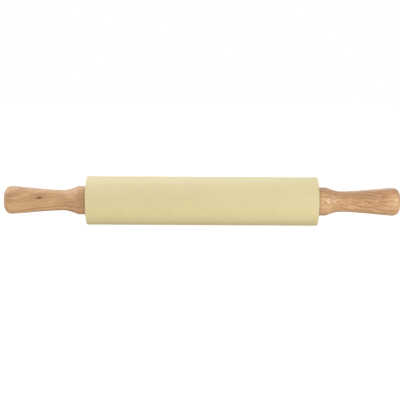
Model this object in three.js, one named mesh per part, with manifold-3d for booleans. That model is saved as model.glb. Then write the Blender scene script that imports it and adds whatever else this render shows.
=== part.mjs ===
// A silicone rolling pin. A soft sleeve on a hollow core turns freely on a steel axle, and the axle
// is screwed at both ends into turned wooden handles. All sizes are in millimetres. The axle lies
// along X with the barrel's centre at the origin, and +Z is up.

import * as THREE from "three";
import { mergeVertices } from "three/addons/utils/BufferGeometryUtils.js";
import Module from "manifold-3d";

const wasm = await Module();
wasm.setup();

// Barrel: the silicone sleeve and the core tube that fills it
const BARREL_LENGTH = 250;
const BARREL_DIAMETER = 53;
const BARREL_EDGE_RADIUS = 1;
const SLEEVE_WALL = 3;
const SLEEVE_LIP_THICKNESS = 2.5;
const CORE_WALL = 3;

// End hubs: they plug the core tube and carry the bushes
const HUB_FLANGE_THICKNESS = 2.4;
const HUB_RING_LENGTH = 18;
const HUB_RING_WALL = 2.5;
const HUB_BOSS_WALL = 2.5;
const HUB_NOSE_RIM = 2;
const HUB_RIB_COUNT = 6;
const HUB_RIB_THICKNESS = 2;
const HUB_RIB_SETBACK = 3;

// Bushes and thrust washers: what the barrel turns on and against
const BUSH_LENGTH = 20;
const BUSH_WALL = 2;
const BUSH_FLANGE_STEP = 3;
const BUSH_FLANGE_THICKNESS = 1.5;
const BUSH_STAND_OUT = 0.1;
const THRUST_WASHER_THICKNESS = 1;

// Axle: a plain rod with a smaller threaded length at each end
const AXLE_DIAMETER = 8;
const AXLE_THREAD_STEP = 1;
const AXLE_TIP_LENGTH = 2;
const AXLE_TIP_CHAMFER = 0.8;

// Handle inserts: brass sleeves sunk in the handles, which take the axle's threaded ends
const INSERT_DEPTH = 8;
const INSERT_LENGTH = 25;
const INSERT_WALL = 2;
const INSERT_GROOVE_COUNT = 3;
const INSERT_GROOVE_WIDTH = 2;
const INSERT_GROOVE_DEPTH = 0.5;
const SHOULDER_WASHER_THICKNESS = 1;

// Handles: collar beside the barrel, narrow waist, tapered grip and rounded end
const HANDLE_LENGTH = 88.5;
const HANDLE_BORE_RELIEF = 3;
const COLLAR_DIAMETER = 31.2;
const COLLAR_LENGTH = 8.1;
const COLLAR_EDGE_RADIUS = 0.8;
const SHOULDER_LENGTH = 15.9;
const WAIST_DIAMETER = 22.6;
const GRIP_DIAMETER = 30.6;
const GRIP_END_RADIUS = 7;
const GRIP_END_DOME = 0.6;
const GRIP_END_FLAT_DIAMETER = 8;

// How far each end of a handle curve runs straight, as a share of that curve's length
const SHOULDER_RUN_OUT = 0.03;
const WAIST_RUN_IN = 0.4;
const WAIST_RUN_OUT = 0.3;
const GRIP_RUN_IN = 0.15;

// Clearances: between pieces that are fixed together, round the axle, and along it
const FIT_GAP = 0.1;
const RUNNING_GAP = 0.15;
const END_PLAY = 0.2;

// Fineness of the round forms
const SIDES = 32;
const SMALL_SIDES = 24;
const ROUND_STEPS = 4;
const CURVE_STEPS = 8;
const DOME_STEPS = 3;
const SAME_POINT = 1e-6;

// Distances from the axle
const axleRadius = AXLE_DIAMETER / 2;
const threadRadius = axleRadius - AXLE_THREAD_STEP;
const runningBore = axleRadius + RUNNING_GAP;
const bushRadius = runningBore + BUSH_WALL;
const bushFlangeRadius = bushRadius + BUSH_FLANGE_STEP;
const bushSeatRadius = bushRadius + FIT_GAP;
const hubBossRadius = bushSeatRadius + HUB_BOSS_WALL;
const hubNoseRadius = bushFlangeRadius + HUB_NOSE_RIM;
const lipRadius = hubNoseRadius + FIT_GAP;
const barrelRadius = BARREL_DIAMETER / 2;
const sleeveBore = barrelRadius - SLEEVE_WALL;
const coreRadius = sleeveBore - FIT_GAP;
const coreBore = coreRadius - CORE_WALL;
const hubRingRadius = coreBore - FIT_GAP;
const hubRingBore = hubRingRadius - HUB_RING_WALL;
const insertBore = threadRadius + FIT_GAP;
const insertRadius = insertBore + INSERT_WALL;
const handleBore = insertRadius + FIT_GAP;

// Places along the axle, from the barrel's centre out to the right
const barrelEnd = BARREL_LENGTH / 2;
const lipInnerFace = barrelEnd - SLEEVE_LIP_THICKNESS;
const hubFace = lipInnerFace - FIT_GAP;
const hubFlangeInnerFace = hubFace - HUB_FLANGE_THICKNESS;
const hubRingEnd = hubFlangeInnerFace - HUB_RING_LENGTH;
const coreEnd = hubFlangeInnerFace - FIT_GAP;
const bushFace = barrelEnd + BUSH_STAND_OUT;
const bushFlangeInnerFace = bushFace - BUSH_FLANGE_THICKNESS;
const bushInnerEnd = bushFace - BUSH_LENGTH;
const hubNoseFace = bushFlangeInnerFace - FIT_GAP;
const thrustWasherFace = bushFace + END_PLAY;
const handleFace = thrustWasherFace + THRUST_WASHER_THICKNESS + END_PLAY;
const handleEnd = handleFace + HANDLE_LENGTH;
const insertFace = handleFace + INSERT_DEPTH;
const insertEnd = insertFace + INSERT_LENGTH;
const shoulderWasherFace = insertFace - FIT_GAP - SHOULDER_WASHER_THICKNESS;
const axleShoulder = shoulderWasherFace - FIT_GAP;
const axleEnd = insertEnd + AXLE_TIP_LENGTH;
const handleBoreEnd = axleEnd + HANDLE_BORE_RELIEF;

const silicone = new THREE.MeshStandardMaterial({ color: 0xdccfa2, roughness: 0.6 });
const wood = new THREE.MeshStandardMaterial({ color: 0xcca27a, roughness: 0.55 });
const corePlastic = new THREE.MeshStandardMaterial({ color: 0xe6e4dc, roughness: 0.5 });
const nylon = new THREE.MeshStandardMaterial({ color: 0xefece2, roughness: 0.4 });
const steel = new THREE.MeshStandardMaterial({ color: 0xb4b6b8, roughness: 0.3, metalness: 1 });
const brass = new THREE.MeshStandardMaterial({ color: 0xc9a24b, roughness: 0.3, metalness: 1 });

// A point of an outline: its distance from the axle and its place along it
function at(radius, place) {
  return new THREE.Vector2(radius, place);
}

// A rounded edge of an outline: a quarter circle that starts at the given angle
function rounded(centre, radius, startAngle) {
  const arc = new THREE.EllipseCurve(
    centre.x, centre.y, radius, radius, startAngle, startAngle + Math.PI / 2);
  return arc.getPoints(ROUND_STEPS);
}

// The solid that an outline sweeps round the axle, with one flat side underneath
function turned(outline, sides) {
  const points = outline.filter(
    (point, i) => i === 0 || point.distanceTo(outline[i - 1]) > SAME_POINT);
  const geometry = new THREE.LatheGeometry(points, sides, Math.PI + Math.PI / sides);
  return geometry.rotateZ(-Math.PI / 2);
}

// A plain tube or washer round the axle
function ring(bore, radius, from, to, sides) {
  const outline = [at(bore, from), at(radius, from), at(radius, to), at(bore, to), at(bore, from)];
  return turned(outline, sides);
}

function toSolid(geometry) {
  const bare = geometry.clone();
  bare.deleteAttribute("normal");
  bare.deleteAttribute("uv");
  const merged = mergeVertices(bare);
  const vertProperties = merged.getAttribute("position").array;
  const triVerts = new Uint32Array(merged.getIndex().array);
  return new wasm.Manifold(new wasm.Mesh({ numProp: 3, vertProperties, triVerts }));
}

function toGeometry(solid) {
  const mesh = solid.getMesh();
  const geometry = new THREE.BufferGeometry();
  geometry.setAttribute("position", new THREE.BufferAttribute(mesh.vertProperties, 3));
  geometry.setIndex(new THREE.BufferAttribute(mesh.triVerts, 1));
  geometry.computeVertexNormals();
  return geometry;
}

// The sleeve covers the core and turns in over both hubs in a flat lip
function siliconeSleeve() {
  const edge = BARREL_EDGE_RADIUS;
  const outline = [
    at(lipRadius, -barrelEnd),
    ...rounded(at(barrelRadius - edge, -barrelEnd + edge), edge, -Math.PI / 2),
    ...rounded(at(barrelRadius - edge, barrelEnd - edge), edge, 0),
    at(lipRadius, barrelEnd),
    at(lipRadius, lipInnerFace),
    at(sleeveBore, lipInnerFace),
    at(sleeveBore, -lipInnerFace),
    at(lipRadius, -lipInnerFace),
    at(lipRadius, -barrelEnd),
  ];
  return turned(outline, SIDES);
}

function coreTube() {
  return ring(coreBore, coreRadius, -coreEnd, coreEnd, SIDES);
}

// A moulded plug: a flange against the core's end, a ring inside the core, a boss round the bush,
// and ribs from the boss to the ring
function endHub() {
  const body = turned([
    at(bushSeatRadius, bushInnerEnd),
    at(hubBossRadius, bushInnerEnd),
    at(hubBossRadius, hubFlangeInnerFace),
    at(hubRingBore, hubFlangeInnerFace),
    at(hubRingBore, hubRingEnd),
    at(hubRingRadius, hubRingEnd),
    at(hubRingRadius, hubFlangeInnerFace),
    at(coreRadius, hubFlangeInnerFace),
    at(coreRadius, hubFace),
    at(hubNoseRadius, hubFace),
    at(hubNoseRadius, hubNoseFace),
    at(bushSeatRadius, hubNoseFace),
    at(bushSeatRadius, bushInnerEnd),
  ], SIDES);
  let hub = toSolid(body);
  for (let i = 0; i < HUB_RIB_COUNT; i++) {
    hub = hub.add(toSolid(hubRib(i * 2 * Math.PI / HUB_RIB_COUNT)));
  }
  return toGeometry(hub);
}

// One rib, rooted half way into the boss, the ring and the flange
function hubRib(turn) {
  const innerRadius = hubBossRadius - HUB_BOSS_WALL / 2;
  const outerRadius = hubRingBore + HUB_RING_WALL / 2;
  const from = Math.max(bushInnerEnd, hubRingEnd) + HUB_RIB_SETBACK;
  const to = hubFlangeInnerFace + HUB_FLANGE_THICKNESS / 2;
  const rib = new THREE.BoxGeometry(to - from, outerRadius - innerRadius, HUB_RIB_THICKNESS);
  rib.translate((from + to) / 2, (innerRadius + outerRadius) / 2, 0);
  return rib.rotateX(turn);
}

function bush() {
  const outline = [
    at(runningBore, bushInnerEnd),
    at(bushRadius, bushInnerEnd),
    at(bushRadius, bushFlangeInnerFace),
    at(bushFlangeRadius, bushFlangeInnerFace),
    at(bushFlangeRadius, bushFace),
    at(runningBore, bushFace),
    at(runningBore, bushInnerEnd),
  ];
  return turned(outline, SMALL_SIDES);
}

function thrustWasher() {
  const to = thrustWasherFace + THRUST_WASHER_THICKNESS;
  return ring(runningBore, bushFlangeRadius, thrustWasherFace, to, SMALL_SIDES);
}

// The rod runs right through, and its shoulders stop on the washers in front of the inserts
function axleRod() {
  const halves = [
    at(axleRadius, axleShoulder),
    at(threadRadius, axleShoulder),
    at(threadRadius, axleEnd - AXLE_TIP_CHAMFER),
    at(threadRadius - AXLE_TIP_CHAMFER, axleEnd),
    at(0, axleEnd),
  ];
  const mirrored = halves.map((point) => at(point.x, -point.y)).reverse();
  return turned([...mirrored, ...halves], SMALL_SIDES);
}

// A brass sleeve with grooves round it, which key it into the wood
function handleInsert() {
  const outline = [at(insertBore, insertFace), at(insertRadius, insertFace)];
  const pitch = INSERT_LENGTH / (INSERT_GROOVE_COUNT + 1);
  for (let i = 1; i <= INSERT_GROOVE_COUNT; i++) {
    const from = insertFace + i * pitch - INSERT_GROOVE_WIDTH / 2;
    const to = from + INSERT_GROOVE_WIDTH;
    const floor = insertRadius - INSERT_GROOVE_DEPTH;
    outline.push(at(insertRadius, from), at(floor, from), at(floor, to), at(insertRadius, to));
  }
  outline.push(at(insertRadius, insertEnd), at(insertBore, insertEnd), at(insertBore, insertFace));
  return turned(outline, SMALL_SIDES);
}

function shoulderWasher() {
  const to = shoulderWasherFace + SHOULDER_WASHER_THICKNESS;
  return ring(insertBore, insertRadius, shoulderWasherFace, to, SMALL_SIDES);
}

// A smooth curve of the handle's outline that leaves and arrives running along the handle
function handleCurve(start, startShare, end, endShare) {
  const length = end.y - start.y;
  const curve = new THREE.CubicBezierCurve(
    start,
    at(start.x, start.y + startShare * length),
    at(end.x, end.y - endShare * length),
    end,
  );
  return curve.getPoints(CURVE_STEPS);
}

// The slight dome between the handle's rounded edge and the small flat at its very end
function handleDome(from, to) {
  const middle = at((from.x + to.x) / 2, to.y);
  return new THREE.QuadraticBezierCurve(from, middle, to).getPoints(DOME_STEPS);
}

function handle() {
  const collarEdge = at(COLLAR_DIAMETER / 2 - COLLAR_EDGE_RADIUS, handleFace + COLLAR_EDGE_RADIUS);
  const collar = at(COLLAR_DIAMETER / 2, handleFace + COLLAR_LENGTH);
  const waist = at(WAIST_DIAMETER / 2, collar.y + SHOULDER_LENGTH);
  const grip = at(GRIP_DIAMETER / 2, handleEnd - GRIP_END_DOME - GRIP_END_RADIUS);
  const gripEdge = at(grip.x - GRIP_END_RADIUS, grip.y);
  const dome = at(gripEdge.x, handleEnd - GRIP_END_DOME);
  const flat = at(GRIP_END_FLAT_DIAMETER / 2, handleEnd);
  const outline = [
    at(0, handleBoreEnd),
    at(handleBore, handleBoreEnd),
    at(handleBore, handleFace),
    ...rounded(collarEdge, COLLAR_EDGE_RADIUS, -Math.PI / 2),
    ...handleCurve(collar, SHOULDER_RUN_OUT, waist, WAIST_RUN_IN),
    ...handleCurve(waist, WAIST_RUN_OUT, grip, GRIP_RUN_IN),
    ...rounded(gripEdge, GRIP_END_RADIUS, 0),
    ...handleDome(dome, flat),
    at(0, handleEnd),
  ];
  return turned(outline, SIDES);
}

function piece(name, geometry, material) {
  const mesh = new THREE.Mesh(geometry, material);
  mesh.name = name;
  return mesh;
}

// Everything at one end, built for the right and turned about Z for the left
function pinEnd(side, turn) {
  const end = new THREE.Group();
  end.add(
    piece(`${side}_end_hub`, endHub(), corePlastic),
    piece(`${side}_bush`, bush(), nylon),
    piece(`${side}_thrust_washer`, thrustWasher(), nylon),
    piece(`${side}_shoulder_washer`, shoulderWasher(), steel),
    piece(`${side}_handle_insert`, handleInsert(), brass),
    piece(`${side}_handle`, handle(), wood),
  );
  end.rotation.z = turn;
  return end;
}

const rollingPin = new THREE.Group();
rollingPin.add(
  piece("silicone_sleeve", siliconeSleeve(), silicone),
  piece("core_tube", coreTube(), corePlastic),
  piece("axle_rod", axleRod(), steel),
  pinEnd("right", 0),
  pinEnd("left", Math.PI),
);

export default rollingPin;
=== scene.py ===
"""The looks of a silicone rolling pin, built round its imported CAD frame.

Metres. The axle lies along X with the barrel's centre at the origin, the camera looks along +Y,
and +Z is up. Every piece is a fine mesh that stands for its CAD solid, the hidden ones too.
"""

import math

import bmesh
import bpy
from mathutils import Euler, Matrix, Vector


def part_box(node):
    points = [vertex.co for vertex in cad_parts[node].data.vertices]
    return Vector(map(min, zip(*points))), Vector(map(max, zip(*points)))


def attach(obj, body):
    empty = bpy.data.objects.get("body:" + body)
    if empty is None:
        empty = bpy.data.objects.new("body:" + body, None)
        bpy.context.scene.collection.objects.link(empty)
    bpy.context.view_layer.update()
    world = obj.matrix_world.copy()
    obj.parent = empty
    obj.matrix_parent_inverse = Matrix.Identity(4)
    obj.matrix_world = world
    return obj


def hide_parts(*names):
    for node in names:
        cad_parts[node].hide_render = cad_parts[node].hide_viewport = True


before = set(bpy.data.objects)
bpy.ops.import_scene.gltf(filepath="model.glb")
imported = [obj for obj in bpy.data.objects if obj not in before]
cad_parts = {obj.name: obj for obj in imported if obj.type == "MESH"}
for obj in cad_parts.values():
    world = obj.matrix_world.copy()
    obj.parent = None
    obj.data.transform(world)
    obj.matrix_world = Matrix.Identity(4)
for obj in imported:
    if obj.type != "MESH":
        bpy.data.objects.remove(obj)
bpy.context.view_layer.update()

MM = 0.001

# The sleeve
BARREL_RADIUS = 26.5 * MM
BARREL_EDGE_RADIUS = 1.0 * MM
SLEEVE_WALL = 3.0 * MM
LIP_THICKNESS = 2.5 * MM
LIP_RADIUS = 11.25 * MM
LIP_EDGE_RADIUS = 0.5 * MM

# The handles
COLLAR_RADIUS = 15.6 * MM
COLLAR_LENGTH = 8.1 * MM
COLLAR_EDGE_RADIUS = 0.8 * MM
SHOULDER_LENGTH = 15.9 * MM
WAIST_RADIUS = 11.3 * MM
GRIP_RADIUS = 15.3 * MM
GRIP_END_RADIUS = 7.0 * MM
GRIP_END_DOME = 0.6 * MM
GRIP_END_FLAT_RADIUS = 4.0 * MM
# How strongly each curve holds to the axle's direction as it leaves and arrives, from 0 to 1
SHOULDER_RUN_OUT = 0.03
WAIST_RUN_IN = 0.4
WAIST_RUN_OUT = 0.3
GRIP_RUN_IN = 0.15

# The axle, the bushes that turn on it and the inserts that it is screwed into
FIT_GAP = 0.1 * MM
RUNNING_GAP = 0.15 * MM
AXLE_RADIUS = 4.0 * MM
AXLE_TIP_CHAMFER = 0.8 * MM
THREAD_RADIUS = 3.0 * MM
THREAD_PITCH = 1.0 * MM
THREAD_DEPTH = 0.5 * MM
THREAD_UNDERCUT = 1.0 * MM
BUSH_BORE = AXLE_RADIUS + RUNNING_GAP
BUSH_WALL = 2.0 * MM
BUSH_RADIUS = BUSH_BORE + BUSH_WALL
BUSH_FLANGE_WIDTH = 3.0 * MM
BUSH_FLANGE_RADIUS = BUSH_RADIUS + BUSH_FLANGE_WIDTH
BUSH_FLANGE_THICKNESS = 1.5 * MM
GREASE_GROOVES = 3
GREASE_GROOVE_DEPTH = 0.4 * MM
GREASE_GROOVE_SHARPNESS = 8
INSERT_BORE = THREAD_RADIUS + FIT_GAP
INSERT_WALL = 2.0 * MM
INSERT_RADIUS = INSERT_BORE + INSERT_WALL
INSERT_GROOVES = 3
INSERT_GROOVE_WIDTH = 2.0 * MM
INSERT_GROOVE_DEPTH = 0.5 * MM
INSERT_KNURLS = 20
INSERT_KNURL_DEPTH = 0.3 * MM
HANDLE_BORE_RADIUS = INSERT_RADIUS + FIT_GAP
HANDLE_BORE_DEPTH = 38.0 * MM

# The core tube and the ribbed hubs that plug it
CORE_RADIUS = BARREL_RADIUS - SLEEVE_WALL - FIT_GAP
CORE_WALL = 3.0 * MM
CORE_BORE = CORE_RADIUS - CORE_WALL
HUB_BORE = BUSH_RADIUS + FIT_GAP
HUB_BOSS_WALL = 2.5 * MM
HUB_BOSS_RADIUS = HUB_BORE + HUB_BOSS_WALL
HUB_RING_RADIUS = CORE_BORE - FIT_GAP
HUB_RING_WALL = 2.5 * MM
HUB_RING_BORE = HUB_RING_RADIUS - HUB_RING_WALL
HUB_NOSE_RADIUS = LIP_RADIUS - FIT_GAP
HUB_NOSE_HEIGHT = 1.1 * MM
HUB_FLANGE_THICKNESS = 2.4 * MM
HUB_RIBS = 6
HUB_RIB_ROOT = 2.0 * MM
HUB_RIB_EDGE = 1.5 * MM
HUB_RIB_SETBACK = 3.0 * MM

# Edges that are broken rather than left sharp
MOULDED_EDGE = 0.3 * MM
MACHINED_EDGE = 0.2 * MM

# Fineness of the turned meshes
TURN_STEPS = 160
SMALL_STEPS = 80
THREAD_STEPS = 8
ARC_STEPS = 10
CURVE_STEPS = 32
SAME_POINT = 1e-7
SHARP_ANGLE = math.radians(40)

# Noise: its middle, and the range in which most of it lies
NOISE_MIDDLE = 0.5
NOISE_RANGE = (0.3, 0.7)

# Silicone, plastic and metal, with the marks of their surfaces counted per metre
SILICONE_TONES = [(0.3, (0.580, 0.502, 0.278)), (0.7, (0.602, 0.524, 0.297))]
SILICONE_MOTTLES = 45
SILICONE_GRAINS = 2600
SILICONE_ROUGHNESS = (0.42, 0.52)
PLASTIC_CLOUDS = 120
PLASTIC_GRAINS = 3500
PLASTIC_SHADES = (0.94, 1.0)
PLASTIC_ROUGHNESS_SPREAD = 0.05
METAL_SHADES = (0.86, 1.0)
METAL_ROUGHNESS_SPREAD = 0.07

# The wood's colours, from its darkest streaks to its palest
WOOD_TONES = [
    (-0.115, (0.360, 0.186, 0.085)),
    (-0.032, (0.475, 0.269, 0.130)),
    (0.032, (0.543, 0.326, 0.166)),
    (0.13, (0.675, 0.438, 0.250)),
]
# The wood's marks: how many there are in a metre along the grain, and across it
WANDER_MARKS = (9, 40)
STREAK_MARKS_ACROSS = 560
FIBRE_MARKS = (120, 3000)
PORE_MARKS = (190, 2300)
FLECK_CLUSTER_MARKS = (130, 1100)
FLECK_SLIT_MARKS = (170, 2900)
RING_MARKS_ACROSS = 330
RING_WANDER = 5 * MM
# What the rings, the streaks and the wander each give to the tone
RING_SHARE = 0.34
STREAK_SHARE = 0.42
WANDER_SHARE = 0.24
# Fine marks: the range of noise in which they come up, and what they do to the surface
FIBRE_RANGE = (0.35, 0.65)
FIBRE_SHADES = (0.92, 1.06)
PORE_RANGE = (0.62, 0.72)
PORE_COLOUR = (0.25, 0.12, 0.05, 1)
PORE_STRENGTH = 0.5
PORE_DEPTH = 0.8
FLECK_RANGE = (0.52, 0.6)
FLECK_COLOUR = (0.33, 0.16, 0.07, 1)
FLECK_CLUSTER_SHARE = 0.5
FLECK_SLIT_SHARE = 0.5
WOOD_ROUGHNESS = (0.3, 0.42)
# Keeps only what lies across the grain
ACROSS_GRAIN = (0, 1, 1)

# Darker and paler ovals of tone: middle and size in millimetres, and the step in tone
LEFT_PATCHES = [
    ((-176.7, -12.1, 6.1), (17, 14, 9), -0.075),
    ((-209.0, -14.5, 4.0), (16, 16, 10), -0.1),
]
RIGHT_PATCHES_AND_PAINTED_LIGHT = [
    # Light painted on the collar, over a paler streak of grain
    ((129.0, -15.0, -3.0), (16, 16, 26), 0.11),
    # A painted highlight on the rounded end
    ((207.0, -14.0, 1.0), (18, 16, 22), 0.085),
]
# The pin knot in the left handle, and the oval in which the grain parts round it
KNOT_MIDDLE = (-175.2, -12.1, 3.5)
KNOT_SIZE = (8.4, 3, 3)
KNOT_GRAIN_SIZE = (30, 14, 11)
KNOT_PULL = 0.75
KNOT_SLANT = math.radians(-10)
KNOT_RIM_COLOUR = (0.25, 0.1, 0.025, 1)
KNOT_RIM_STRENGTH = 0.95
KNOT_HEART_COLOUR = (0.12, 0.04, 0.012, 1)
KNOT_HEART_STRENGTH = 0.8
# Where patch and knot start and where they are strongest, in half-widths of their oval
PATCH_EDGE = (1.2, 0.4)
KNOT_RIM_EDGE = (1.2, 0.6)
KNOT_HEART_EDGE = (0.7, 0.2)
RAGGED_MARKS = 900
RAGGEDNESS = 0.6

# Camera, placed so that the picture is framed as the photograph is
PICTURE_PIXELS = 400
PIXELS_PER_METRE = 918.5
PIN_PIXEL = (202.1, 200.75)
CAMERA_DISTANCE = 1.1
CAMERA_ELEVATION = math.radians(6)
CAMERA_ROLL = math.radians(0.3)
SENSOR_MM = 36

# Studio
FLOOR_SIZE = 24.0
FLOOR_WHITE = 0.25
FLOOR_GLOW = 0.85
FLOOR_ROUGHNESS = 0.9
WHITE = (1, 1, 1, 1)
# Light from the surroundings: its colour at heights from straight down, 0, to straight up, 1
FRONT_SKY = [(0.3, (1.45, 1.363, 1.16)), (0.485, (0.6, 0.6, 0.6)), (1.0, (0.86, 0.86, 0.86))]
BACK_SKY = [(0.3, (0.1, 0.1, 0.1)), (0.485, (0.6, 0.6, 0.6)), (1.0, (0.5, 0.5, 0.5))]
LEFT_SKY = [(0.3, (0.5, 0.5, 0.5)), (0.7, (0.9, 0.9, 0.9))]
RIGHT_SKY = (0.55, 0.55, 0.55, 1)
# How far back the front's light turns into the back's, and how far out the sides' light starts
SKY_TURN = (-0.3, 0.5)
SIDE_START = 0.3

KEY_PLACE = (1.0, -1.05, 0.3)
KEY_SIZE = (0.8, 0.8)
KEY_POWER = 10
FILL_PLACE = (-0.9, -0.6, 1.0)
FILL_SIZE = (0.8, 0.8)
FILL_POWER = 2.5
SIDE_PLACE = (-1.1, 0.3, 0.8)
SIDE_SIZE = (0.8, 0.8)
SIDE_POWER = 5.6
TOP_PLACE = (-0.3, 0.5, 1.3)
TOP_SIZE = (1.6, 0.8)
TOP_POWER = 6.5
BACK_PLACE = (0.2, 1.3, 0.1)
BACK_SIZE = (1.6, 0.8)
BACK_POWER = 6.5
COOL_LIGHT = (0.96, 1.0, 1.05)


class Graph:
    """The node tree of a material or of the world, written as calls that return sockets."""

    def __init__(self, owner, shader="Principled BSDF", coordinates="Object"):
        owner.use_nodes = True
        self.owner = owner
        self.tree = owner.node_tree
        self.shader = self.tree.nodes[shader]
        self.place = self.put("TexCoord").outputs[coordinates]

    def put(self, kind, inputs=None, **settings):
        """A new node with its inputs filled."""
        node = self.tree.nodes.new("ShaderNode" + kind)
        for key, value in settings.items():
            setattr(node, key, value)
        self.fill(node, inputs or {})
        return node

    def fill(self, node, inputs):
        """Link a node's inputs to sockets, or set them to plain values."""
        for key, value in inputs.items():
            socket = node.inputs[key]
            if isinstance(value, bpy.types.NodeSocket):
                self.tree.links.new(value, socket)
            else:
                socket.default_value = value

    def finish(self, **inputs):
        """Fill the shader's inputs and hand back what the tree belongs to."""
        self.fill(self.shader, {key.replace("_", " "): value for key, value in inputs.items()})
        return self.owner

    def mapped(self, vector, scale=(1, 1, 1), turn=(0, 0, 0), shift=(0, 0, 0)):
        inputs = {"Vector": vector, "Scale": scale, "Rotation": turn, "Location": shift}
        return self.put("Mapping", inputs).outputs["Vector"]

    def minus(self, first, second):
        return self.put("VectorMath", {0: first, 1: second}, operation="SUBTRACT").outputs["Vector"]

    def length(self, vector):
        return self.put("VectorMath", {0: vector}, operation="LENGTH").outputs["Value"]

    def noise(self, vector, scale=1.0, detail=2.0, roughness=0.5):
        inputs = {"Vector": vector, "Scale": scale, "Detail": detail, "Roughness": roughness}
        return self.put("TexNoise", inputs).outputs["Fac"]

    def span(self, value, low, high, to_low=0.0, to_high=1.0):
        """A value carried over from one range to another, and kept inside it."""
        inputs = {"Value": value, "From Min": low, "From Max": high,
                  "To Min": to_low, "To Max": to_high}
        return self.put("MapRange", inputs, clamp=True).outputs["Result"]

    def maths(self, operation, first, second):
        return self.put("Math", {0: first, 1: second}, operation=operation).outputs[0]

    def blended(self, *parts):
        """The sum of values, each times its share."""
        total = 0.0
        for value, share in parts:
            inputs = {0: value, 1: share, 2: total}
            total = self.put("Math", inputs, operation="MULTIPLY_ADD").outputs[0]
        return total

    def mixed(self, share, first, second, blend="MIX"):
        inputs = {0: share, 6: first, 7: second}
        return self.put("Mix", inputs, data_type="RGBA", blend_type=blend).outputs[2]

    def shaded(self, colour, shade):
        """A colour made darker or paler by a shade about 1."""
        return self.mixed(1.0, colour, shade, "MULTIPLY")

    def ramp(self, value, stops):
        node = self.put("ValToRGB", {"Fac": value})
        elements = node.color_ramp.elements
        while len(elements) < len(stops):
            elements.new(0.5)
        for element, (position, colour) in zip(elements, stops):
            element.position = position
            element.color = (*colour, 1)
        return node.outputs["Color"]

    def bump(self, height, strength, distance):
        inputs = {"Height": height, "Strength": strength, "Distance": distance}
        return self.put("Bump", inputs).outputs["Normal"]


def new_material(name):
    return Graph(bpy.data.materials.new(name))


def around(middle, spread):
    """The range that reaches as far below a middle as above it."""
    return middle - spread, middle + spread


def silicone_material():
    """Matte, slightly translucent rubber with a faint mottle and a fine moulded grain."""
    g = new_material("silicone")
    mottle = g.noise(g.place, scale=SILICONE_MOTTLES, detail=3)
    grain = g.noise(g.place, scale=SILICONE_GRAINS, detail=2)
    return g.finish(
        Base_Color=g.ramp(mottle, SILICONE_TONES),
        Roughness=g.span(grain, *NOISE_RANGE, *SILICONE_ROUGHNESS),
        Normal=g.bump(grain, strength=0.08, distance=0.1 * MM),
        IOR=1.6,
        Sheen_Weight=0.25,
        Sheen_Roughness=0.35,
        Subsurface_Weight=0.12,
        Subsurface_Radius=(1.0, 0.8, 0.4),
        Subsurface_Scale=2.0 * MM,
    )


def wood_material(name, slant, shift, pith, painted_top_shade, softness, streaks_per_metre, fleck_share,
                  patches_and_painted_light, knot=False):
    """Turned hardwood: growth rings, long streaks, darker and paler ovals, fine fibres, pores and
    dark flecks. Some ovals are painted light, and a tone that changes with height is painted shade.

    The grain slants by an angle to the axle. A shift picks the stretch of noise that it shows, and
    the rings lie round a pith beside the handle.
    """
    g = new_material(name)
    place = parted_place(g) if knot else g.place
    along = g.mapped(place, turn=(0, slant, 0), shift=shift)
    wander = grain_noise(g, along, WANDER_MARKS, detail=2)
    streak_marks = (streaks_per_metre, STREAK_MARKS_ACROSS)
    streaks = grain_noise(g, along, streak_marks, detail=3, roughness=0.6)
    rings = ring_tone(g, along, Vector(shift) + Vector(pith), wander)
    tone = g.blended((rings, RING_SHARE), (streaks, STREAK_SHARE), (wander, WANDER_SHARE))
    # Painted shade: the tone changes with height, and a value below 0 darkens the top
    height = g.put("SeparateXYZ", {0: g.place}).outputs["Z"]
    tone = g.maths("ADD", tone, g.maths("MULTIPLY", height, painted_top_shade))
    # Darker and paler ovals: grain on the left handle, and painted light on the right
    for middle, size, step in patches_and_painted_light:
        distance = patch_distance(g, middle, size)
        tone = g.maths("ADD", tone, g.span(distance, *PATCH_EDGE, 0.0, step))
    stops = [(NOISE_MIDDLE + offset * softness, colour) for offset, colour in WOOD_TONES]
    colour = g.ramp(tone, stops)

    fibres = grain_noise(g, along, FIBRE_MARKS, detail=2)
    colour = g.shaded(colour, g.span(fibres, *FIBRE_RANGE, *FIBRE_SHADES))
    pores = g.span(grain_noise(g, along, PORE_MARKS, detail=1), *PORE_RANGE)
    colour = g.mixed(g.maths("MULTIPLY", pores, PORE_STRENGTH), colour, PORE_COLOUR)
    clusters = grain_noise(g, along, FLECK_CLUSTER_MARKS, detail=2)
    slits = grain_noise(g, along, FLECK_SLIT_MARKS, detail=1)
    flecks = g.blended((clusters, FLECK_CLUSTER_SHARE), (slits, FLECK_SLIT_SHARE))
    colour = g.mixed(g.span(flecks, *FLECK_RANGE, 0.0, fleck_share), colour, FLECK_COLOUR)
    if knot:
        colour = knotted(g, colour)
    relief = g.maths("SUBTRACT", fibres, g.maths("MULTIPLY", pores, PORE_DEPTH))
    return g.finish(
        Base_Color=colour,
        Roughness=g.span(fibres, *NOISE_RANGE, *WOOD_ROUGHNESS),
        Normal=g.bump(relief, strength=0.12, distance=0.1 * MM),
        Specular_IOR_Level=0.5,
        Sheen_Weight=0.6,
        Sheen_Roughness=0.35,
    )


def grain_noise(g, along, marks, detail, roughness=0.5):
    """Noise that is drawn out along the grain."""
    lengthwise, across = marks
    place = g.mapped(along, scale=(lengthwise, across, across))
    return g.noise(place, detail=detail, roughness=roughness)


def ring_tone(g, along, pith, wander):
    """Growth rings of uneven width round a pith."""
    distance = g.length(g.mapped(g.minus(along, pith), scale=ACROSS_GRAIN))
    wavy = g.maths("ADD", distance, g.maths("MULTIPLY", wander, RING_WANDER))
    inputs = {"W": wavy, "Scale": RING_MARKS_ACROSS, "Detail": 2.0}
    return g.put("TexNoise", inputs, noise_dimensions="1D").outputs["Fac"]


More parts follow.
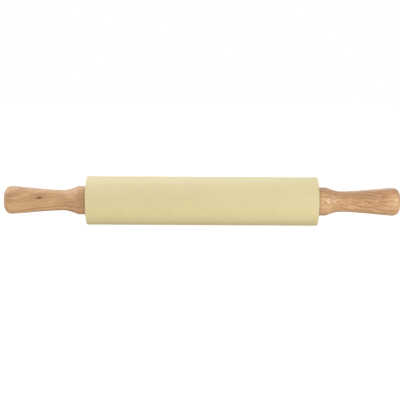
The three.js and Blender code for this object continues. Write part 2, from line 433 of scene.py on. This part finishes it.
def oval_distance(g, middle, size, slant=0.0):
    """Distance from the middle of a slanted oval, whose edge is at 1."""
    inputs = {"Vector": g.place, "Location": Vector(middle) * MM, "Rotation": (0, slant, 0),
              "Scale": Vector(size) * MM / 2}
    return g.length(g.put("Mapping", inputs, vector_type="TEXTURE").outputs["Vector"])


def patch_distance(g, middle, size, slant=0.0):
    """Distance from the middle of an oval with a ragged edge."""
    noise = g.noise(g.place, scale=RAGGED_MARKS, detail=2)
    ragged = g.maths("MULTIPLY", g.maths("SUBTRACT", noise, NOISE_MIDDLE), RAGGEDNESS)
    return g.maths("ADD", oval_distance(g, middle, size, slant), ragged)


def parted_place(g):
    """Places drawn in towards the knot, so that the grain parts round it."""
    offset = g.minus(g.place, Vector(KNOT_MIDDLE) * MM)
    across = g.mapped(offset, scale=ACROSS_GRAIN)
    distance = oval_distance(g, KNOT_MIDDLE, KNOT_GRAIN_SIZE, KNOT_SLANT)
    pull = g.span(distance, 1.0, 0.0, 0.0, KNOT_PULL)
    inward = g.put("VectorMath", {0: across, "Scale": pull}, operation="SCALE").outputs["Vector"]
    return g.minus(g.place, inward)


def knotted(g, colour):
    """The wood's colour with the knot's brown rim and darker heart."""
    distance = patch_distance(g, KNOT_MIDDLE, KNOT_SIZE, KNOT_SLANT)
    rim = g.span(distance, *KNOT_RIM_EDGE, 0.0, KNOT_RIM_STRENGTH)
    heart = g.span(distance, *KNOT_HEART_EDGE, 0.0, KNOT_HEART_STRENGTH)
    return g.mixed(heart, g.mixed(rim, colour, KNOT_RIM_COLOUR), KNOT_HEART_COLOUR)


def plastic_material(name, colour, roughness):
    """Moulded plastic with a faint cloudiness and a fine grain."""
    g = new_material(name)
    cloud = g.noise(g.place, scale=PLASTIC_CLOUDS, detail=3)
    grain = g.noise(g.place, scale=PLASTIC_GRAINS, detail=1)
    return g.finish(
        Base_Color=g.shaded((*colour, 1), g.span(cloud, *NOISE_RANGE, *PLASTIC_SHADES)),
        Roughness=g.span(grain, *NOISE_RANGE, *around(roughness, PLASTIC_ROUGHNESS_SPREAD)),
        Normal=g.bump(grain, strength=0.05, distance=0.05 * MM),
    )


def metal_material(name, colour, roughness, lines_per_metre):
    """Metal with fine lines: along a drawn rod, or round a turned sleeve."""
    g = new_material(name)
    lines = g.noise(g.mapped(g.place, scale=lines_per_metre), detail=3)
    return g.finish(
        Base_Color=g.shaded((*colour, 1), g.span(lines, *NOISE_RANGE, *METAL_SHADES)),
        Roughness=g.span(lines, *NOISE_RANGE, *around(roughness, METAL_ROUGHNESS_SPREAD)),
        Normal=g.bump(lines, strength=0.06, distance=0.05 * MM),
        Metallic=1.0,
    )


def floor_material():
    """White back-lit acrylic, so that the floor stays pale under the pin."""
    g = new_material("studio_floor")
    return g.finish(
        Base_Color=(FLOOR_WHITE, FLOOR_WHITE, FLOOR_WHITE, 1),
        Roughness=FLOOR_ROUGHNESS,
        Emission_Color=WHITE,
        Emission_Strength=FLOOR_GLOW,
    )


def arc(centre_radius, centre_place, radius, start, end):
    """Outline points (distance from the axle, place along it) on part of a circle."""
    points = []
    for i in range(ARC_STEPS + 1):
        angle = start + (end - start) * i / ARC_STEPS
        points.append((centre_radius + radius * math.cos(angle),
                       centre_place + radius * math.sin(angle)))
    return points


def bezier(controls):
    """Outline points on the Bezier curve of these control points."""
    points = []
    for i in range(CURVE_STEPS + 1):
        row = [Vector(c) for c in controls]
        while len(row) > 1:
            row = [a.lerp(b, i / CURVE_STEPS) for a, b in zip(row, row[1:])]
        points.append(tuple(row[0]))
    return points


def eased(start, start_share, end, end_share):
    """A curve between two outline points that leaves and arrives running along the axle."""
    length = end[1] - start[1]
    return bezier([start, (start[0], start[1] + start_share * length),
                   (end[0], end[1] - end_share * length), end])


def towards(start, end, distance):
    """The outline point that lies a distance from one point on the way to another."""
    share = distance / math.dist(start, end)
    return (start[0] + (end[0] - start[0]) * share, start[1] + (end[1] - start[1]) * share)


def broken(corners, cut):
    """A closed outline, run anticlockwise, with its outward corners cut off."""
    points = []
    for i, corner in enumerate(corners):
        before = corners[i - 1]
        after = corners[(i + 1) % len(corners)]
        turn = ((corner[0] - before[0]) * (after[1] - corner[1])
                - (corner[1] - before[1]) * (after[0] - corner[0]))
        if turn > 0:
            points += [towards(corner, before, cut), towards(corner, after, cut)]
        else:
            points.append(corner)
    return points


def ring_outline(bore, radius, start, end, cut):
    """The closed outline of a plain ring with broken edges."""
    return broken([(bore, start), (radius, start), (radius, end), (bore, end)], cut)


def mirrored(half):
    """The left half of an outline, run back from its right half."""
    return [(radius, -place) for radius, place in reversed(half)]


def turned(name, outline, closed, direction=1, steps=TURN_STEPS, reach=None):
    """A mesh swept round the axle by an outline that is closed, or starts and ends on the axle.

    Where reach is given, it says how far from the axle a point really lies, from the outline's
    radius, its place along the axle and its angle round it.
    """
    outline = [p for i, p in enumerate(outline)
               if i == 0 or math.dist(p, outline[i - 1]) > SAME_POINT]
    if closed and math.dist(outline[0], outline[-1]) < SAME_POINT:
        outline.pop()
    vertices, rings = [], []
    for radius, place in outline:
        count = steps if radius > SAME_POINT else 1
        rings.append((len(vertices), count))
        for i in range(count):
            angle = 2 * math.pi * i / steps
            distance = reach(radius, place, angle) if reach else radius
            across = -direction * distance * math.cos(angle)
            vertices.append((direction * place, across, distance * math.sin(angle)))
    faces = []
    pairs = list(zip(rings, rings[1:]))
    if closed:
        pairs.append((rings[-1], rings[0]))
    for (a, a_count), (b, b_count) in pairs:
        for i in range(steps):
            j = (i + 1) % steps
            loop = [a + i % a_count, b + i % b_count, b + j % b_count, a + j % a_count]
            faces.append(list(dict.fromkeys(loop)))
    mesh = bpy.data.meshes.new(name)
    mesh.from_pydata(vertices, [], faces)
    return smooth_piece(name, mesh)


def smooth_piece(name, mesh):
    """A mesh put into the scene, shaded smooth between its sharp edges."""
    mesh.shade_smooth()
    mesh.set_sharp_from_angle(angle=SHARP_ANGLE)
    piece = bpy.data.objects.new(name, mesh)
    bpy.context.scene.collection.objects.link(piece)
    return piece


def extent(node):
    """Where a node at one end starts and stops, measured out from the barrel's centre."""
    low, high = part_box(node)
    return sorted((abs(low.x), abs(high.x)))


def sleeve_piece():
    """The silicone skin, with a rounded lip that turns in over each end."""
    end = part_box("silicone_sleeve")[1].x
    edge = BARREL_EDGE_RADIUS
    lip_edge = LIP_EDGE_RADIUS
    lip_centre = LIP_RADIUS + lip_edge
    lip_back = end - LIP_THICKNESS
    half = [
        *arc(BARREL_RADIUS - edge, end - edge, edge, 0, math.pi / 2),
        *arc(lip_centre, end - lip_edge, lip_edge, math.pi / 2, math.pi),
        *arc(lip_centre, lip_back + lip_edge, lip_edge, math.pi, 1.5 * math.pi),
        (BARREL_RADIUS - SLEEVE_WALL, lip_back),
    ]
    return turned("sleeve", half + mirrored(half), closed=True)


def handle_piece(side, direction):
    """A handle turned to a collar, a waist and a swelling grip, and bored for its insert."""
    face, end = extent(side + "_handle")
    collar = (COLLAR_RADIUS, face + COLLAR_LENGTH)
    waist = (WAIST_RADIUS, collar[1] + SHOULDER_LENGTH)
    grip = (GRIP_RADIUS, end - GRIP_END_DOME - GRIP_END_RADIUS)
    dome = (GRIP_RADIUS - GRIP_END_RADIUS, end - GRIP_END_DOME)
    flat = (GRIP_END_FLAT_RADIUS, end)
    outline = [
        (0, face + HANDLE_BORE_DEPTH),
        (HANDLE_BORE_RADIUS, face + HANDLE_BORE_DEPTH),
        (HANDLE_BORE_RADIUS, face),
        *arc(COLLAR_RADIUS - COLLAR_EDGE_RADIUS, face + COLLAR_EDGE_RADIUS, COLLAR_EDGE_RADIUS,
             -math.pi / 2, 0),
        *eased(collar, SHOULDER_RUN_OUT, waist, WAIST_RUN_IN),
        *eased(waist, WAIST_RUN_OUT, grip, GRIP_RUN_IN),
        *arc(dome[0], grip[1], GRIP_END_RADIUS, 0, math.pi / 2),
        *bezier([dome, ((dome[0] + flat[0]) / 2, end), flat]),
        (0, end),
    ]
    return turned(side + "_grip", outline, closed=False, direction=direction)


def core_piece():
    """The stiff tube that the sleeve is stretched over."""
    low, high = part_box("core_tube")
    outline = ring_outline(CORE_BORE, CORE_RADIUS, low.x, high.x, MOULDED_EDGE)
    return turned("core", outline, closed=True)


def thread_places(start, end):
    """Places along a threaded length, close enough together to show its shape."""
    count = round((end - start) / THREAD_PITCH * THREAD_STEPS)
    return [start + (end - start) * i / count for i in range(count + 1)]


def thread_cut(place, angle, start):
    """How deep the axle's right-hand thread is cut at a point. It runs out at the thread's start."""
    turn = place / THREAD_PITCH + angle / (2 * math.pi)
    groove = 1 - abs(2 * (turn % 1) - 1)
    inside = (abs(place) - start) / THREAD_PITCH
    return THREAD_DEPTH * groove * min(max(inside, 0), 1)


def axle_piece():
    """The rod through the barrel, with a thinner threaded length beyond a shoulder at each end."""
    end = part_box("axle_rod")[1].x
    shoulder = extent("right_shoulder_washer")[0] - FIT_GAP
    thread_start = shoulder + THREAD_UNDERCUT
    thread_end = end - AXLE_TIP_CHAMFER
    half = [
        (AXLE_RADIUS, shoulder - MACHINED_EDGE),
        (AXLE_RADIUS - MACHINED_EDGE, shoulder),
        (THREAD_RADIUS, shoulder),
        *[(THREAD_RADIUS, place) for place in thread_places(thread_start, thread_end)],
        (THREAD_RADIUS - AXLE_TIP_CHAMFER, end),
        (0, end),
    ]

    def reach(radius, place, angle):
        if radius != THREAD_RADIUS:
            return radius
        return radius - thread_cut(place, angle, thread_start)

    return turned("axle", mirrored(half) + half, closed=False, steps=SMALL_STEPS, reach=reach)


def washer_piece(name, node, bore, radius, direction):
    """A flat ring with broken edges, in the place of a washer."""
    start, end = extent(node)
    outline = ring_outline(bore, radius, start, end, MACHINED_EDGE)
    return turned(name, outline, closed=True, direction=direction)


def bush_piece(side, direction):
    """A flanged bush with shallow grease grooves along its bore."""
    start, face = extent(side + "_bush")
    flange = face - BUSH_FLANGE_THICKNESS
    corners = [
        (BUSH_BORE, start),
        (BUSH_RADIUS, start),
        (BUSH_RADIUS, flange),
        (BUSH_FLANGE_RADIUS, flange),
        (BUSH_FLANGE_RADIUS, face),
        (BUSH_BORE, face),
    ]

    def reach(radius, place, angle):
        if radius != BUSH_BORE:
            return radius
        wave = max(math.cos(GREASE_GROOVES * angle), 0)
        return radius + GREASE_GROOVE_DEPTH * wave ** GREASE_GROOVE_SHARPNESS

    outline = broken(corners, MOULDED_EDGE)
    return turned(side + "_bushing", outline, closed=True, direction=direction, reach=reach)


def insert_piece(side, direction):
    """A brass sleeve with knurled lands between grooves, whose thread fits into the axle's."""
    face, end = extent(side + "_handle_insert")
    thread_start, thread_end = face + MACHINED_EDGE, end - MACHINED_EDGE
    corners = [(INSERT_BORE, face), (INSERT_RADIUS, face)]
    spacing = (end - face) / (INSERT_GROOVES + 1)
    floor = INSERT_RADIUS - INSERT_GROOVE_DEPTH
    for i in range(INSERT_GROOVES):
        start = face + (i + 1) * spacing - INSERT_GROOVE_WIDTH / 2
        stop = start + INSERT_GROOVE_WIDTH
        corners += [(INSERT_RADIUS, start), (floor, start), (floor, stop), (INSERT_RADIUS, stop)]
    corners += [(INSERT_RADIUS, end), (INSERT_BORE, end)]
    outline = broken(corners, MACHINED_EDGE)
    outline += [(INSERT_BORE, place) for place in reversed(thread_places(thread_start, thread_end))]

    def reach(radius, place, angle):
        if radius == INSERT_BORE:
            axle_angle = angle if direction > 0 else math.pi - angle
            return radius - thread_cut(direction * place, axle_angle, thread_start)
        if radius == INSERT_RADIUS:
            return radius - INSERT_KNURL_DEPTH * (1 - math.cos(INSERT_KNURLS * angle)) / 2
        return radius

    name = side + "_insert"
    return turned(name, outline, closed=True, direction=direction, steps=SMALL_STEPS, reach=reach)


def hub_piece(side, direction):
    """A moulded plug: a flange, a ring inside the core, a boss round the bush, and ribs between."""
    ring_end, nose = extent(side + "_end_hub")
    boss_end = extent(side + "_bush")[0]
    face = nose - HUB_NOSE_HEIGHT
    flange = face - HUB_FLANGE_THICKNESS
    corners = [
        (HUB_BORE, boss_end),
        (HUB_BOSS_RADIUS, boss_end),
        (HUB_BOSS_RADIUS, flange),
        (HUB_RING_BORE, flange),
        (HUB_RING_BORE, ring_end),
        (HUB_RING_RADIUS, ring_end),
        (HUB_RING_RADIUS, flange),
        (CORE_RADIUS, flange),
        (CORE_RADIUS, face),
        (HUB_NOSE_RADIUS, face),
        (HUB_NOSE_RADIUS, nose),
        (HUB_BORE, nose),
    ]
    outline = broken(corners, MOULDED_EDGE)
    body = turned(side + "_hub_body", outline, closed=True, direction=direction)
    ribs = rib_boxes(direction, boss_end + HUB_RIB_SETBACK, flange + HUB_FLANGE_THICKNESS / 2)
    return joined(side + "_hub", body, ribs)


def rib_boxes(direction, start, end):
    """The hub's ribs, thinner at their free edge, rooted in the boss, the ring and the flange."""
    radii = (HUB_BOSS_RADIUS - HUB_BOSS_WALL / 2, HUB_RING_BORE + HUB_RING_WALL / 2)
    shell = bmesh.new()
    for i in range(HUB_RIBS):
        angle = 2 * math.pi * i / HUB_RIBS
        corners = []
        for place, thickness in ((start, HUB_RIB_EDGE), (end, HUB_RIB_ROOT)):
            for radius in radii:
                for offset in (-thickness / 2, thickness / 2):
                    y = radius * math.cos(angle) - offset * math.sin(angle)
                    z = radius * math.sin(angle) + offset * math.cos(angle)
                    corners.append(shell.verts.new((direction * place, direction * y, z)))
        bmesh.ops.convex_hull(shell, input=corners)
    mesh = bpy.data.meshes.new("ribs")
    shell.to_mesh(mesh)
    shell.free()
    return smooth_piece("ribs", mesh)


def joined(name, body, addition):
    """One closed mesh of two that overlap, in place of both."""
    union = body.modifiers.new("union", "BOOLEAN")
    union.operation = "UNION"
    union.solver = "EXACT"
    union.object = addition
    whole = body.evaluated_get(bpy.context.evaluated_depsgraph_get())
    mesh = bpy.data.meshes.new_from_object(whole)
    mesh.name = name
    bpy.data.objects.remove(body)
    bpy.data.objects.remove(addition)
    return smooth_piece(name, mesh)


def fit(piece, node, body, material):
    """Finish a piece, let it ride on a body, and let it stand for a CAD node."""
    piece.data.materials.clear()
    piece.data.materials.append(material)
    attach(piece, body)
    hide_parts(node)


def make_camera():
    """A camera in front of the pin and a little above it."""
    back = Vector((0, -math.cos(CAMERA_ELEVATION), math.sin(CAMERA_ELEVATION)))
    up = Vector((0, math.sin(CAMERA_ELEVATION), math.cos(CAMERA_ELEVATION)))
    right = Vector((1, 0, 0))
    middle = PICTURE_PIXELS / 2
    aim = (right * (middle - PIN_PIXEL[0]) + up * (PIN_PIXEL[1] - middle)) / PIXELS_PER_METRE
    data = bpy.data.cameras.new("camera")
    data.sensor_width = SENSOR_MM
    data.lens = SENSOR_MM * CAMERA_DISTANCE * PIXELS_PER_METRE / PICTURE_PIXELS
    camera = bpy.data.objects.new("camera", data)
    camera.location = aim + back * CAMERA_DISTANCE
    turn = (-back).to_track_quat("-Z", "Y") @ Euler((0, 0, CAMERA_ROLL)).to_quaternion()
    camera.rotation_euler = turn.to_euler()
    bpy.context.scene.collection.objects.link(camera)
    bpy.context.scene.camera = camera


def make_light(name, place, size, power, colour=(1, 1, 1)):
    """A rectangular light that faces the pin."""
    data = bpy.data.lights.new(name, "AREA")
    data.shape = "RECTANGLE"
    data.size, data.size_y = size
    data.energy = power
    data.color = colour
    light = bpy.data.objects.new(name, data)
    light.location = place
    light.rotation_euler = (-Vector(place)).to_track_quat("-Z", "Y").to_euler()
    bpy.context.scene.collection.objects.link(light)


def make_floor():
    """A floor that the pin lies on, which neither lights it nor shades it."""
    reach = FLOOR_SIZE / 2
    level = -BARREL_RADIUS
    mesh = bpy.data.meshes.new("floor")
    corners = [(x * reach, y * reach, level) for x, y in ((-1, -1), (1, -1), (1, 1), (-1, 1))]
    mesh.from_pydata(corners, [], [(0, 1, 2, 3)])
    mesh.materials.append(floor_material())
    floor = bpy.data.objects.new("floor", mesh)
    floor.visible_diffuse = False
    floor.visible_glossy = False
    floor.visible_shadow = False
    bpy.context.scene.collection.objects.link(floor)


def make_world():
    """Soft light from all round, and a white backdrop in the picture."""
    g = Graph(bpy.data.worlds.new("studio"), shader="Background", coordinates="Generated")
    direction = g.put("SeparateXYZ", {0: g.place}).outputs
    height = g.span(direction["Z"], -1, 1)
    front = g.ramp(height, FRONT_SKY)
    sky = g.mixed(g.span(direction["Y"], *SKY_TURN), front, g.ramp(height, BACK_SKY))
    sky = g.mixed(g.span(direction["X"], -SIDE_START, -1), sky, g.ramp(height, LEFT_SKY))
    sky = g.mixed(g.span(direction["X"], SIDE_START, 1), sky, RIGHT_SKY)
    seen = g.put("LightPath").outputs["Is Camera Ray"]
    bpy.context.scene.world = g.finish(Color=g.mixed(seen, sky, WHITE))


def make_studio():
    """The surroundings, the floor and the lights."""
    bpy.context.scene.view_settings.view_transform = "Standard"
    make_world()
    make_floor()
    make_light("key_light", KEY_PLACE, KEY_SIZE, KEY_POWER)
    make_light("fill_light", FILL_PLACE, FILL_SIZE, FILL_POWER)
    make_light("side_light", SIDE_PLACE, SIDE_SIZE, SIDE_POWER, COOL_LIGHT)
    make_light("top_light", TOP_PLACE, TOP_SIZE, TOP_POWER, COOL_LIGHT)
    make_light("back_light", BACK_PLACE, BACK_SIZE, BACK_POWER)


silicone = silicone_material()
core_plastic = plastic_material("core_plastic", colour=(0.79, 0.776, 0.716), roughness=0.5)
nylon = plastic_material("nylon", colour=(0.863, 0.838, 0.76), roughness=0.38)
steel = metal_material(
    "steel",
    colour=(0.56, 0.57, 0.58),
    roughness=0.3,
    lines_per_metre=(60, 4000, 4000),
)
brass = metal_material(
    "brass",
    colour=(0.66, 0.45, 0.16),
    roughness=0.3,
    lines_per_metre=(4000, 60, 60),
)
wood = {
    "left": wood_material(
        "left_wood",
        slant=math.radians(6),
        shift=(0.538, 0.913, 0.087),
        pith=(0, 0.0183, -0.0283),
        painted_top_shade=0.0,
        softness=1.25,
        streaks_per_metre=34,
        fleck_share=0.15,
        patches_and_painted_light=LEFT_PATCHES,
        knot=True,
    ),
    "right": wood_material(
        "right_wood",
        slant=math.radians(-9),
        shift=(0.801, 0.206, 0.599),
        pith=(0, 0.0398, 0.0505),
        # Painted shade that darkens the top of the right handle
        painted_top_shade=-2.5,
        softness=0.8,
        streaks_per_metre=55,
        fleck_share=0.85,
        patches_and_painted_light=RIGHT_PATCHES_AND_PAINTED_LIGHT,
    ),
}

fit(sleeve_piece(), "silicone_sleeve", "barrel", silicone)
fit(core_piece(), "core_tube", "barrel", core_plastic)
fit(axle_piece(), "axle_rod", "handles", steel)
for side, direction in (("left", -1), ("right", 1)):
    fit(handle_piece(side, direction), side + "_handle", "handles", wood[side])
    fit(insert_piece(side, direction), side + "_handle_insert", "handles", brass)
    fit(hub_piece(side, direction), side + "_end_hub", "barrel", core_plastic)
    fit(bush_piece(side, direction), side + "_bush", "barrel", nylon)
    node = side + "_thrust_washer"
    ring = washer_piece(side + "_thrust_ring", node, BUSH_BORE, BUSH_FLANGE_RADIUS, direction)
    fit(ring, node, "barrel", nylon)
    node = side + "_shoulder_washer"
    ring = washer_piece(side + "_shoulder_ring", node, INSERT_BORE, INSERT_RADIUS, direction)
    fit(ring, node, "handles", steel)

make_studio()
make_camera()
